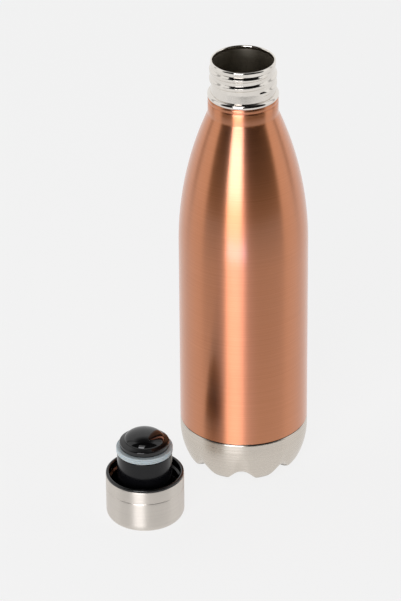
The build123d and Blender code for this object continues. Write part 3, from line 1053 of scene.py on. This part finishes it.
# ------------------------------------------------------------------ floor
PALE = (0.880, 0.880, 0.880)
FLOOR_RADIUS, FLOOR_DROP = 0.76, 0.0002
# metres from each foot's axis to where the painted shadow under it starts to fade, and the fade
BOTTLE_SHADOW, CAP_SHADOW, SHADOW_FADE = 0.012, 0.010, 0.007
# glow inside the painted shadows, and over the rest of the floor
SHADOW_GLOW, FLOOR_GLOW = 0.25, 0.93


def floor_disc(segments=96):
    angle = ring_angles(segments)
    across, along = FLOOR_RADIUS * np.cos(angle), FLOOR_RADIUS * np.sin(angle)
    points = [(float(x), float(y), -FLOOR_DROP) for x, y in zip(across, along)]
    mesh = bpy.data.meshes.new("floor")
    mesh.from_pydata(points, [], [list(range(segments))])
    piece = bpy.data.objects.new("floor", mesh)
    bpy.context.scene.collection.objects.link(piece)
    return piece


def floor_paint():
    """A matt pale surface with an even glow of its own, weaker in the middle of each foot's place
    as a painted shadow.
    """
    n = Nodes("pale_floor")
    shadowed_glows = []
    # painted shadow: the glow drops under each foot, and stays put when the cap is lifted away
    for place, shadow_reach in ((BOTTLE, BOTTLE_SHADOW), (CAP, CAP_SHADOW)):
        span = n.new("ShaderNodeVectorMath", operation="DISTANCE")
        span.inputs[1].default_value = (*place, 0)
        n.link(n.place, span.inputs[0])
        shadowed_glows.append(
            n.spread(
                span.outputs["Value"], SHADOW_GLOW, FLOOR_GLOW, shadow_reach, shadow_reach + SHADOW_FADE, "SMOOTHSTEP"
            )
        )
    n.set(
        Base_Color=(0.12, 0.12, 0.12, 1),
        Roughness=0.9,
        Specular_IOR_Level=0.0,
        Emission_Color=(*PALE, 1),
        Emission_Strength=n.maths("MINIMUM", *shadowed_glows),
    )
    return n.material


floor = floor_disc()
floor.data.materials.append(floor_paint())

# ------------------------------------------------------------------ studio
# A pale backdrop round the far side and a dark studio behind the camera. The soft lights stand
# to the left of the camera.
world = bpy.data.worlds.new("studio")
bpy.context.scene.world = world
world.use_nodes = True
studio = Tree(world.node_tree)


def grey_ramp(value, stops):
    """A brightness looked up from (place, level) stops."""
    node = studio.new("ShaderNodeValToRGB")
    ramp = node.color_ramp
    ramp.interpolation = "LINEAR"
    while len(ramp.elements) < len(stops):
        ramp.elements.new(0.5)
    for element, (position, level) in zip(ramp.elements, stops):
        element.position = position
        element.color = (level, level, level, 1)
    studio.link(value, node.inputs["Fac"])
    return node.outputs["Color"]


direction = studio.new("ShaderNodeTexCoord").outputs["Generated"]
parts = studio.new("ShaderNodeSeparateXYZ")
studio.link(direction, parts.inputs[0])
# compass angle from the camera's side, positive to the right, as 0..1 over -180..180
toward = studio.maths("MULTIPLY", parts.outputs["Y"], -1)
compass = studio.maths("ARCTAN2", parts.outputs["X"], toward)
compass = studio.maths("ADD", studio.maths("DIVIDE", compass, 2 * math.pi), 0.5)


def bearing(degrees):
    """A bearing's place on the compass ramp."""
    return degrees / 360 + 0.5


# brightness by bearing: the far backdrop with two dimmer joints, and the dark side
around = grey_ramp(
    compass,
    [
        (bearing(degrees), level)
        for degrees, level in (
            (-180, 0.95),
            (-116, 0.95),
            (-112, 0.50),
            (-105, 0.50),
            (-101, 0.95),
            (-75, 0.98),
            (-69, 0.012),
            (70, 0.012),
            (76, 1.0),
            (102, 0.97),
            (106, 0.55),
            (113, 0.55),
            (117, 0.97),
        )
    ],
)
upness = studio.maths("ADD", studio.maths("MULTIPLY", parts.outputs["Z"], 0.5), 0.5)
overhead = grey_ramp(upness, [(0.0, 1.0), (0.90, 1.0), (0.97, 0.12), (1.0, 0.05)])
reflected = studio.new("ShaderNodeMix", data_type="RGBA", blend_type="MULTIPLY")
reflected.inputs["Factor"].default_value = 1.0
studio.link(around, reflected.inputs[FIRST_COLOUR])
studio.link(overhead, reflected.inputs[SECOND_COLOUR])
# the camera itself sees an even pale backdrop
pick = studio.new("ShaderNodeMix", data_type="RGBA")
camera_ray = studio.new("ShaderNodeLightPath").outputs["Is Camera Ray"]
studio.link(camera_ray, pick.inputs["Factor"])
studio.link(reflected.outputs[MIXED_COLOUR], pick.inputs[FIRST_COLOUR])
pick.inputs[SECOND_COLOUR].default_value = (*PALE, 1)
glow = studio.new("ShaderNodeBackground")
studio.link(pick.outputs[MIXED_COLOUR], glow.inputs["Color"])
studio.link(glow.outputs[0], studio.new("ShaderNodeOutputWorld").inputs["Surface"])

# metres above the table of the point that the lights face
LIGHT_AIM = 0.13


def soft_light(name, bearing_degrees, elevation, distance, half_width, half_height, glow, tint):
    """A soft box that faces the object from a bearing (0 is the camera's side, + is right). Its
    half sizes are angles in degrees, and glow is how bright its face looks."""
    data = bpy.data.lights.new(name, "AREA")
    data.shape = "RECTANGLE"
    data.size = 2 * distance * math.tan(math.radians(half_width))
    data.size_y = 2 * distance * math.tan(math.radians(half_height))
    data.energy = glow * math.pi * data.size * data.size_y
    data.color = tint
    light = bpy.data.objects.new(name, data)
    side_by, raised_by = math.radians(bearing_degrees), math.radians(elevation)
    level = math.cos(raised_by)
    back = Vector((math.sin(side_by) * level, -math.cos(side_by) * level, math.sin(raised_by)))
    aim = Vector((*BOTTLE, LIGHT_AIM))
    light.location = aim + back * distance
    light.rotation_mode = "QUATERNION"
    light.rotation_quaternion = (-back).to_track_quat("-Z", "Y")
    light.visible_camera = False
    bpy.context.scene.collection.objects.link(light)
    return light


soft_light("key_strip", -15.5, 33.0, 2.4, 15.0, 18.0, 1.8, (1, 1, 1))
soft_light("key_low", -16.5, 6.0, 2.4, 14.0, 10.0, 8.0, (1, 1, 1.04))
# the lacquered copper takes a cooler, stronger share of the same light, down to the table
copper_only = bpy.data.collections.new("copper_only")
copper_only.objects.link(bpy.data.objects["copper_shell"])
for light in (
    soft_light("copper_strip", -15.5, 30.0, 2.4, 15.0, 20.0, 1.5, (1, 1, 1.7)),
    soft_light("copper_low", -11.5, -31.0, 0.37, 16.0, 17.0, 5.2, (1, 1, 1.65)),
):
    light.light_linking.receiver_collection = copper_only
    light.light_linking.blocker_collection = copper_only

bpy.context.scene.view_settings.view_transform = "Standard"
